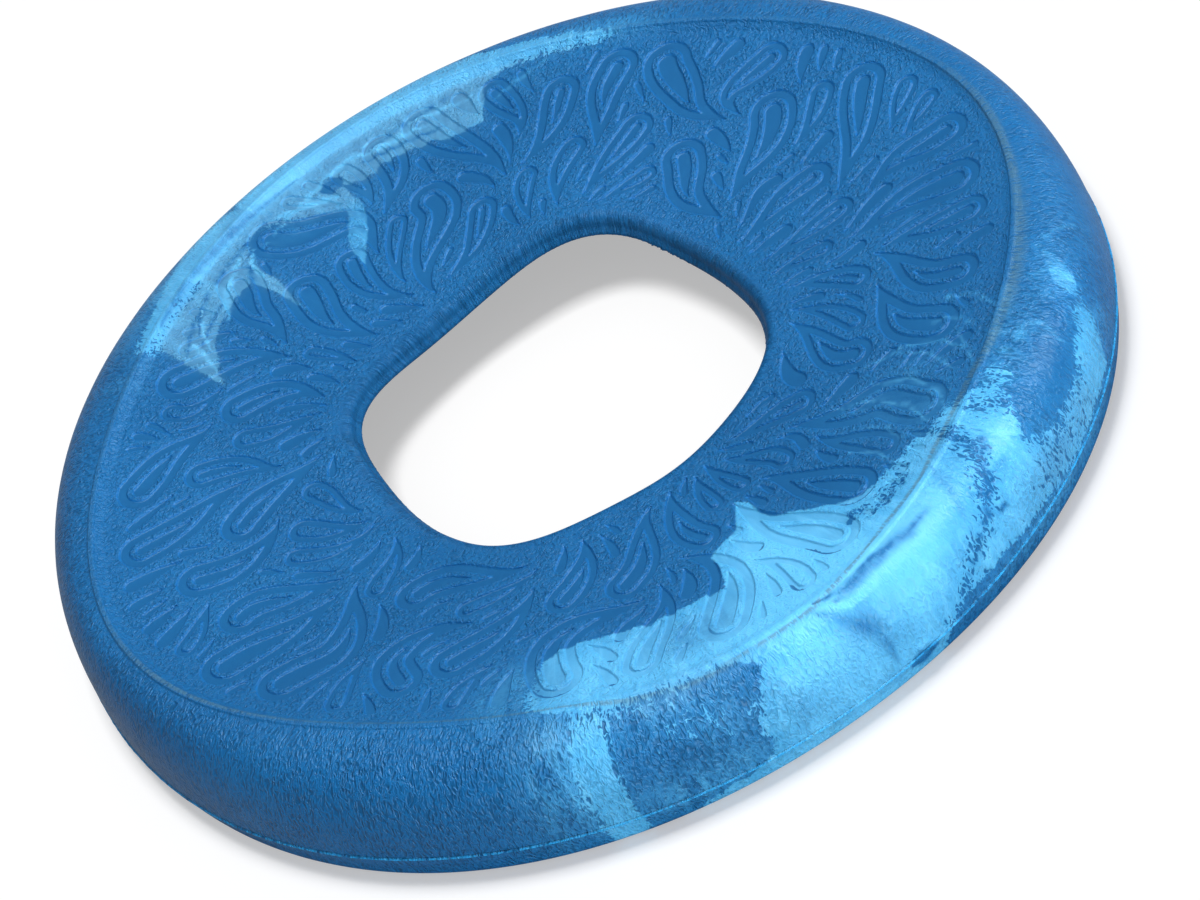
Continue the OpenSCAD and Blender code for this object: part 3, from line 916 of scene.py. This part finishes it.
def grey_skin():
    """Greyish skin on the light part of the far deck, and in spots."""
    far_deck = (0.8 * ease((CREST - 1.2 - Q) / 2.4) * ease((DEG - 48) / 10)
                * ease((142 - DEG) / 8) * ease((Q - np.where(DEG < 105, 76, 66)) / 8)
                * ease((MARBLE + 2.0) / 2.0))
    return with_spots(GREYED, far_deck)


def dark_veil():
    far = 0.5 * ease((CREST - 1.5 - Q) / 3.0)
    near = 0.16 * ease((-94 - DEG) / 12) * ease((CREST - 2 - Q) / 3.0)
    field = np.maximum(np.where((DEG > 50) & (DEG < 140), far, 0.0),
                       np.where((DEG < -90) & (DEG > -125), near, 0.0))
    return with_spots(DARK_VEIL, field)


MARBLE, ragged = marbling()
rimness = ease((Q - (CREST - 1.0)) / 3.0)
far_side = ease((np.sin(ANG) + 0.25) / 0.5)
from_line = Q - (CREST + np.interp((DEG + 360) % 360, LINE_DEG, LINE_OFFSET))
hatch_w = 0.55 + 0.5 * ease((DEG + 62) / 14) * ease((20 - DEG) / 20)
comb = np.exp(-(from_line / 1.3) ** 2) * (0.85 - 0.6 * far_side)
flash_q = np.interp((ANG + 2 * PI) % (2 * PI), TH, FLASH_Q)
FIELDS = dict(
    calm=with_spots(CALMED),
    grey=grey_skin(),
    hatch=np.exp(-(from_line / hatch_w) ** 4) * (1.0 - 0.75 * far_side),
    line=np.exp(-((Q - flash_q) / 0.32) ** 2) * 0.8,
    pol=np.stack([100 * np.cos(ANG), 100 * np.sin(ANG), Q], -1),
    zone=ZONE,
    rimness=rimness,
    marble=MARBLE,
    rag=np.maximum(ragged, 0.12 * rimness),
    soft=with_spots(LIGHT_VEIL),
    veil=dark_veil(),
    streak=streaks(),
    deep=dark_slivers(),
    comb=np.maximum(comb, ease((deck_in(ANG) + 0.6 - Q) / 1.2)),
    grain=1 - with_spots(SMOOTH))


# --------------------------------------------------------------------------
# 9. Material
# --------------------------------------------------------------------------
def srgb(*channels):
    linear = [c / 12.92 if c <= 0.04045 else ((c + 0.055) / 1.055) ** 2.4
              for c in (channel / 255 for channel in channels)]
    return (*linear, 1.0)


DARK_A, DARK_B, DARK_C = srgb(12, 82, 134), srgb(16, 88, 141), srgb(36, 120, 180)
LIGHT_A, LIGHT_B, LIGHT_C = srgb(62, 146, 196), srgb(86, 172, 220), srgb(104, 188, 232)
# pairs: over dark, over light
GREYS = srgb(34, 92, 136), srgb(92, 144, 176)
HATCHES = srgb(54, 94, 120), srgb(78, 122, 146)
# painted light: the relief walls are coloured lighter than the compound, standing in for light
# on them
WALL_PAINTED_LIGHT = srgb(20, 104, 178), srgb(78, 168, 214)
FLASH_COLOR = srgb(36, 150, 214)


class Signal:
    """A shader output that takes plain arithmetic; each operation adds a math node."""
    def __init__(self, net, socket):
        self.net, self.socket = net, socket

    def __add__(self, other):
        return self.net.math("ADD", self, other)

    def __sub__(self, other):
        return self.net.math("SUBTRACT", self, other)

    def __rsub__(self, other):
        return self.net.math("SUBTRACT", other, self)

    def __mul__(self, other):
        return self.net.math("MULTIPLY", self, other)

    def __abs__(self):
        return self.net.math("ABSOLUTE", self)

    def clamped(self):
        self.socket.node.use_clamp = True
        return self


class Net:
    """Adds nodes to a material; inputs may be signals or plain values."""
    def __init__(self, material):
        self.tree = material.node_tree

    def feed(self, socket, value):
        if isinstance(value, Signal):
            self.tree.links.new(value.socket, socket)
        else:
            socket.default_value = value

    def node(self, kind, output, inputs=(), **settings):
        node = self.tree.nodes.new(kind)
        for name, value in settings.items():
            setattr(node, name, value)
        for key, value in dict(inputs).items():
            self.feed(node.inputs[key], value)
        return Signal(self, node.outputs[output])

    def math(self, operation, a, b=0.0):
        return self.node("ShaderNodeMath", 0, {0: a, 1: b, 2: 0.0}, operation=operation)

    def attr(self, name, output="Fac"):
        return self.node("ShaderNodeAttribute", output, attribute_name=name)

    def noise(self, vector, scale, detail, rough, distort=0.0):
        return self.node("ShaderNodeTexNoise", "Fac", {
            "Vector": vector, "Scale": scale, "Detail": detail, "Roughness": rough,
            "Distortion": distort})

    def stretch(self, vector, factors):
        return self.node("ShaderNodeVectorMath", 0, {0: vector, 1: factors},
                         operation="MULTIPLY")

    def step(self, value, lo, hi):
        """Smooth step from 0 at lo to 1 at hi."""
        return self.node("ShaderNodeMapRange", 0,
                         {"Value": value, "From Min": lo, "From Max": hi},
                         interpolation_type="SMOOTHSTEP")

    def mix(self, share, a, b):
        """Colour a at share 0, b at share 1."""
        return self.node("ShaderNodeMix", 2, {0: share, 6: a, 7: b}, data_type="RGBA")

    def lerp(self, share, a, b):
        """Number a at share 0, b at share 1."""
        return self.node("ShaderNodeMix", 0, {0: share, 2: a, 3: b}, data_type="FLOAT")

    def ridges(self, vector, scale, detail, distort, sharp):
        """Thin ridges along the middle level of a noise."""
        noise = self.noise(vector, scale, detail, rough=0.55, distort=distort)
        return (1.0 - abs(noise - 0.5) * sharp).clamped()


def marbled_compound():
    """Marbled soft compound, driven by the fields on the points.

    'pol' is a point on a 100 mm circle plus the distance across the section, all in mm,
    so that grain can run across the rim.
    """
    material = bpy.data.materials.new("marbled_compound")
    material.use_nodes = True
    shader = material.node_tree.nodes["Principled BSDF"]
    net = Net(material)
    attr, noise, step, mix, lerp = net.attr, net.noise, net.step, net.mix, net.lerp
    pol = attr("pol", "Vector")
    mm = net.stretch(net.node("ShaderNodeTexCoord", "Object"), (1000.0, 1000.0, 1000.0))
    floor, rim, marble, ragged = attr("zone"), attr("rimness"), attr("marble"), attr("rag")

    # grain: worm-like on the deck, wrinkles across the rim, combed lines at the step
    deck_grain = net.ridges(mm, scale=1.0, detail=1.5, distort=0.6, sharp=4.8)
    rim_grain = net.ridges(net.stretch(pol, (1.0, 1.0, 0.5)),
                           scale=1.2, detail=1.3, distort=0.45, sharp=5.0)
    combed = net.ridges(net.stretch(pol, (1.0, 1.0, 0.22)),
                        scale=1.7, detail=1.0, distort=0.3, sharp=4.6)
    grain = lerp(attr("comb"), lerp(rim, deck_grain, rim_grain), combed)

    # light share: the edge wanders, and follows the grain where the compounds mingle
    along = net.stretch(pol, (1.0, 1.0, 0.30))
    coarse = noise(pol, scale=0.17, detail=3.0, rough=0.55, distort=0.5)
    drawn = noise(along, scale=0.55, detail=4.0, rough=0.65, distort=0.8)
    small = noise(mm, scale=1.5, detail=4.0, rough=0.65, distort=0.4)
    calm = attr("calm")
    wander = (coarse - 0.5) * ((1.0 - calm) * 2.6)
    jitter = (small - 0.5) * (lerp(calm, 1.3, 0.5) + ragged * 2.2)
    by_grain = (grain - 0.42) * (ragged * 5.0)
    by_draw = (drawn - 0.5) * (ragged * 9.0)
    light = step((marble + wander) + (jitter + (by_grain + by_draw)), -0.32, 0.32)
    cloud = noise(along, scale=0.22, detail=5.0, rough=0.62, distort=1.2)
    veil = (step(cloud, 0.3, 0.68) + (grain - 0.5) * 0.5).clamped()
    light = net.math("MAXIMUM", light, attr("soft") * veil).clamped()
    light = (light * (1.0 - attr("veil") * lerp(veil, 0.5, 1.15))).clamped()
    light = (light + attr("streak") * lerp(step(drawn, 0.3, 0.6), 0.55, 1.1)).clamped()

    # tones of the two compounds, from broad and fine clouds and depth inside the outline
    broad = noise(pol, scale=0.035, detail=3.0, rough=0.5, distort=0.5)
    fine = noise(along, scale=0.34, detail=5.0, rough=0.62, distort=1.0)
    inside = marble + ((coarse - 0.5) * 6.0 + (fine - 0.5) * 4.0)
    dark_tone = mix(step(broad, 0.35, 0.7), DARK_A, DARK_B)
    dark_tone = mix(step(fine, 0.5, 0.8) * 0.12, dark_tone, DARK_C)
    dark_tone = mix(step(inside, -6.5, 0.5) * lerp(rim, 0.08, 0.26), dark_tone, DARK_C)
    light_tone = mix(step(inside, -1.0, 8.0), LIGHT_A, LIGHT_B)
    light_tone = mix(step(fine, 0.46, 0.74) * 0.5, light_tone, LIGHT_C)
    light_tone = mix(step(broad, 0.52, 0.35) * 0.35, light_tone, LIGHT_A)
    color = mix(light, dark_tone, light_tone)

    # dark slivers, grey skin, drop floors, hatched moulded line, painted light on the relief
    # walls, flash
    sliver = step(attr("deep") + (small - 0.5) * 0.5, 0.42, 0.52)
    color = mix(sliver, color, dark_tone)
    clear = (1.0 - abs(attr("streak"))).clamped()
    skin = (attr("grey") * clear) * lerp(step(cloud, 0.3, 0.7), 0.6, 1.0)
    color = mix(skin, color, mix(light, *GREYS))
    color = mix(floor * 0.14, color, mix(light, *GREYS))
    hatch = attr("hatch") * lerp(step(combed, 0.25, 0.7), 0.12, 0.8)
    color = mix(hatch, color, mix(light, *HATCHES))
    # painted light: the relief walls get a lighter colour than the compound beside them
    wall = (1.0 - abs(floor - 0.5) * 2.2).clamped()
    color = mix(wall * 0.5, color, mix(light, *WALL_PAINTED_LIGHT))
    color = mix(attr("line") * step(drawn, 0.36, 0.5), color, FLASH_COLOR)

    # brightness: painted shade darkens the drop floors slightly, and painted highlights
    # brighten the ridges of the grain
    shade = 1.0 - floor * 0.05
    ridge_highlight = ((grain - 0.42) * lerp(rim, 0.24, 0.42)) * (attr("grain") * (1.0 - floor))
    brightness = shade + ridge_highlight * lerp(light, 1.0, 0.6)
    net.feed(shader.inputs["Base Color"], net.node(
        "ShaderNodeVectorMath", 0, {0: color, "Scale": brightness}, operation="SCALE"))

    # surface: the grain stands out least on floors and on the light compound
    amount = (1.0 - floor * 0.94) * attr("grain")
    patch = noise(pol, scale=0.07, detail=2.0, rough=0.5)
    amount = amount * lerp(step(patch, 0.35, 0.65), 0.72, 1.15)
    amount = amount * lerp(light, 1.0, 0.66)
    micro = noise(mm, scale=5.0, detail=2.0, rough=0.6)
    height = (grain * amount) * lerp(rim, 2.6, 3.0) + micro * 0.16
    rough = lerp(floor, lerp(rim, 0.46, 0.38), 0.36) + (micro - 0.5) * 0.12
    bump = net.node("ShaderNodeBump", 0,
                    {"Strength": 1.0, "Distance": 0.00009, "Height": height})
    for name, value in {
            "Normal": bump,
            "Roughness": rough,
            "Specular IOR Level": 0.27,
            "Specular Tint": (0.62, 0.88, 1.0, 1.0),
            "Subsurface Weight": 0.16,
            "Subsurface Scale": 0.0009,
            "Subsurface Radius": (0.25, 0.7, 1.0)}.items():
        net.feed(shader.inputs[name], value)
    return material


COMPOUND = marbled_compound()

# --------------------------------------------------------------------------
# 10. Pieces: each light swirl is an inlay that fills a pocket of the body
# --------------------------------------------------------------------------
# angle range in degrees of each swirl, numbered from 1; 0 is the body
SWIRLS = {"far_light_swirl": (40, 145), "near_light_swirl": (-130, -62.1),
          "side_light_swirl": (-62.1, -25)}
LEAST_TRIS = 400                # smaller specks of a swirl stay with the body


def open_edges(tris):
    edges = np.concatenate([tris[:, [0, 1]], tris[:, [1, 2]], tris[:, [2, 0]]])
    key = edges[:, 0].astype(np.int64) * (len(P) + 1) + edges[:, 1]
    reverse = edges[:, 1].astype(np.int64) * (len(P) + 1) + edges[:, 0]
    return edges[~np.isin(key, reverse)]


def assign_triangles():
    """Piece number of each triangle."""
    q, marble = Q[T].mean(1), MARBLE[T].mean(1)
    degrees = np.degrees(np.arctan2(P[T][:, :, 1].mean(1), P[T][:, :, 0].mean(1)))
    piece = np.zeros(len(T), int)
    for k, (lo, hi) in enumerate(SWIRLS.values(), 1):
        piece[(marble > 0) & (degrees > lo) & (degrees < hi)] = k
    # beyond the seam, the near swirl's range belongs to the side swirl
    beyond = (q > 93) & (q - 93 > -2.2 * (degrees + 62.1) + 0.8)
    piece[(piece == 2) & (degrees > -74.5) & beyond] = 3
    near_points = np.zeros(len(P), bool)
    near_points[T[piece == 2].ravel()] = True
    piece[(piece == 3) & near_points[T].any(1)] = 0
    # no swirl may hang on to itself or to another one by a single point
    for _ in range(60):
        pinched = np.zeros(len(P), bool)
        for k in range(4):
            ends = open_edges(T[piece == k]).ravel()
            pinched |= np.bincount(ends, minlength=len(P)) > 2
        if not pinched.any():
            break
        piece[pinched[T].any(1)] = 0
    for k in (1, 2, 3):
        ids = np.nonzero(piece == k)[0]
        label = connected_labels(T[ids])
        _, group, size = np.unique(label, return_inverse=True, return_counts=True)
        piece[ids[size[group.ravel()] < LEAST_TRIS]] = 0
    return piece


def connected_labels(tris):
    """A label for each triangle, the same for all that hang together."""
    label = np.arange(len(P))
    for _ in range(400):
        new = label.copy()
        np.minimum.at(new, tris.ravel(), np.repeat(label[tris].min(1), 3))
        new = new[new]
        if (new == label).all():
            break
        label = new
    return label[tris[:, 0]]


def sunk_points():
    """Each point moved in under the skin, deepest well inside the light compound."""
    r = np.minimum(np.hypot(P[:, 0], P[:, 1]), CREST - 6)
    z = np.where(Q < CREST - 6, P[:, 2] - 10, crest_z(ANG) - 10)
    inward = np.stack([r * np.cos(ANG), r * np.sin(ANG), z], -1) - P
    inward /= np.linalg.norm(inward, axis=1, keepdims=True) + 1e-9
    depth = 0.35 + np.clip(MARBLE, 0, 6) / 6 * 1.4
    return P + inward * depth[:, None]


POINTS = np.concatenate([P, sunk_points()])
ARRAYS = [POINTS, np.concatenate([NORMAL, NORMAL])] + [
    np.concatenate([field, field]) for field in FIELDS.values()]


def make_piece(name, tris):
    """Smooth mesh with its fields and normals, standing for the CAD piece of that name."""
    tris, (points, normals, *fields) = compact(tris, ARRAYS)
    mesh = bpy.data.meshes.new(name + "_skin")
    mesh.vertices.add(len(points))
    mesh.vertices.foreach_set("co", (points / 1000.0).astype(np.float32).ravel())
    mesh.loops.add(len(tris) * 3)
    mesh.loops.foreach_set("vertex_index", tris.astype(np.int32).ravel())
    mesh.polygons.add(len(tris))
    mesh.polygons.foreach_set("loop_start", np.arange(0, 3 * len(tris), 3, dtype=np.int32))
    mesh.update(calc_edges=True)
    mesh.polygons.foreach_set("use_smooth", np.ones(len(tris), bool))
    mesh.materials.append(COMPOUND)
    for field_name, field in zip(FIELDS, fields):
        kind, key = ("FLOAT_VECTOR", "vector") if field.ndim == 2 else ("FLOAT", "value")
        attribute = mesh.attributes.new(field_name, kind, "POINT")
        attribute.data.foreach_set(key, field.astype(np.float32).ravel())
    mesh.normals_split_custom_set_from_vertices(normals.astype(np.float32))
    mesh.update()
    piece = bpy.data.objects.new(name + "_skin", mesh)
    bpy.context.scene.collection.objects.link(piece)
    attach(piece, "root")
    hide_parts(name)


PIECE = assign_triangles()
SUNK = len(P)                   # added to a point's number for its sunk twin
body_tris = [T[PIECE == 0]]
for k, name in enumerate(SWIRLS, 1):
    top = T[PIECE == k]
    a, b = open_edges(top).T
    wall = np.concatenate([np.stack([b, a, a + SUNK], -1),
                           np.stack([b, a + SUNK, b + SUNK], -1)])
    body_tris += [top + SUNK, wall[:, ::-1]]
    make_piece(name, np.concatenate([top, top[:, ::-1] + SUNK, wall]))
make_piece("ring_body", np.concatenate(body_tris))

# --------------------------------------------------------------------------
# 11. Floor, light and camera
# --------------------------------------------------------------------------
FLOOR_HALF = 6.0                # metres
PAPER_SEEN, PAPER_LIT = (0.62, 0.62, 0.62, 1), (0.5, 0.5, 0.5, 1)   # to camera, to light
PAPER_GLOW = 0.43               # seen by the camera only
scene = bpy.context.scene


def make_floor():
    s = FLOOR_HALF
    mesh = bpy.data.meshes.new("floor")
    mesh.from_pydata([(-s, -s, 0), (s, -s, 0), (s, s, 0), (-s, s, 0)], [], [(0, 1, 2, 3)])
    paper = bpy.data.materials.new("floor_paper")
    paper.use_nodes = True
    inputs = paper.node_tree.nodes["Principled BSDF"].inputs
    inputs["Base Color"].default_value = PAPER_SEEN
    inputs["Roughness"].default_value = 1.0
    inputs["Specular IOR Level"].default_value = 0.0
    inputs["Emission Color"].default_value = (1, 1, 1, 1)
    net = Net(paper)
    to_camera = net.node("ShaderNodeLightPath", "Is Camera Ray")
    net.feed(inputs["Base Color"], net.mix(to_camera, PAPER_LIT, PAPER_SEEN))
    net.feed(inputs["Emission Strength"], to_camera * PAPER_GLOW)
    mesh.materials.append(paper)
    floor = bpy.data.objects.new("floor", mesh)
    scene.collection.objects.link(floor)
    floor.location.z = CAD_LO[2] - 0.00005


def soft_box(name, azimuth, elevation, distance, size, power, receivers=None):
    """Area light aimed at the ring, from degrees round from +X and degrees up."""
    light = bpy.data.lights.new(name, "AREA")
    light.shape = "RECTANGLE"
    light.size, light.size_y = size
    light.energy = power
    box = bpy.data.objects.new(name, light)
    scene.collection.objects.link(box)
    a, e = rad(azimuth), rad(elevation)
    d = Vector((math.cos(e) * math.cos(a), math.cos(e) * math.sin(a), math.sin(e)))
    box.location = Vector((0, 0, 0.01)) + d * distance
    box.rotation_mode = "QUATERNION"
    box.rotation_quaternion = (-d).to_track_quat("-Z", "Y")
    if receivers:
        box.light_linking.receiver_collection = receivers
    return box


def make_lights():
    """Only the top box and the world light the floor, which keeps one soft shadow."""
    scene.view_settings.view_transform = "Standard"
    world = bpy.data.worlds.new("studio")
    scene.world = world
    world.use_nodes = True
    background = world.node_tree.nodes["Background"]
    background.inputs[0].default_value = (1, 1, 1, 1)
    background.inputs[1].default_value = 0.22
    ring = bpy.data.collections.new("ring_pieces")
    scene.collection.children.link(ring)
    for piece in bpy.data.objects:
        if piece.type == "MESH" and piece.name.endswith("_skin"):
            ring.objects.link(piece)
    soft_box("top_box", azimuth=80, elevation=87, distance=1.6, size=(0.55, 0.55), power=20)
    soft_box("side_box", azimuth=-13, elevation=42, distance=1.5, size=(0.6, 0.45), power=20,
             receivers=ring)
    soft_box("front_box", azimuth=-90, elevation=8, distance=1.6, size=(1.2, 0.5), power=23,
             receivers=ring)
    # pale sheen on the near shoulder, without diffuse light
    sheen = soft_box("sheen_box", azimuth=-26, elevation=57, distance=1.3, size=(0.45, 0.3),
                     power=7, receivers=ring)
    sheen.visible_diffuse = False


def make_camera():
    """Long lens above the near side, rolled and slid sideways in its own plane."""
    distance, slide_right, slide_up = 0.8753184, 0.004420241211, -0.006451271672
    elevation, roll, azimuth = rad(40.5453), rad(-27.8229), rad(-9.5)
    back = Vector((math.sin(azimuth) * math.cos(elevation),
                   -math.cos(azimuth) * math.cos(elevation), math.sin(elevation)))
    level = Vector((math.cos(azimuth), math.sin(azimuth), 0))
    upright = back.cross(level)
    right = math.cos(roll) * level + math.sin(roll) * upright
    up = -math.sin(roll) * level + math.cos(roll) * upright
    data = bpy.data.cameras.new("camera")
    camera = bpy.data.objects.new("camera", data)
    scene.collection.objects.link(camera)
    camera.matrix_world = Matrix((*((right[i], up[i], back[i], 0) for i in range(3)),
                                  (0, 0, 0, 1)))
    target = Vector((0, 0, CAD_LO[2] + PART_Z / 1000))
    camera.location = target + back * distance + right * slide_right + up * slide_up
    data.sensor_width = 36.0
    data.lens = 135.0
    data.clip_start, data.clip_end = 0.05, 30
    scene.camera = camera


make_floor()
make_lights()
make_camera()
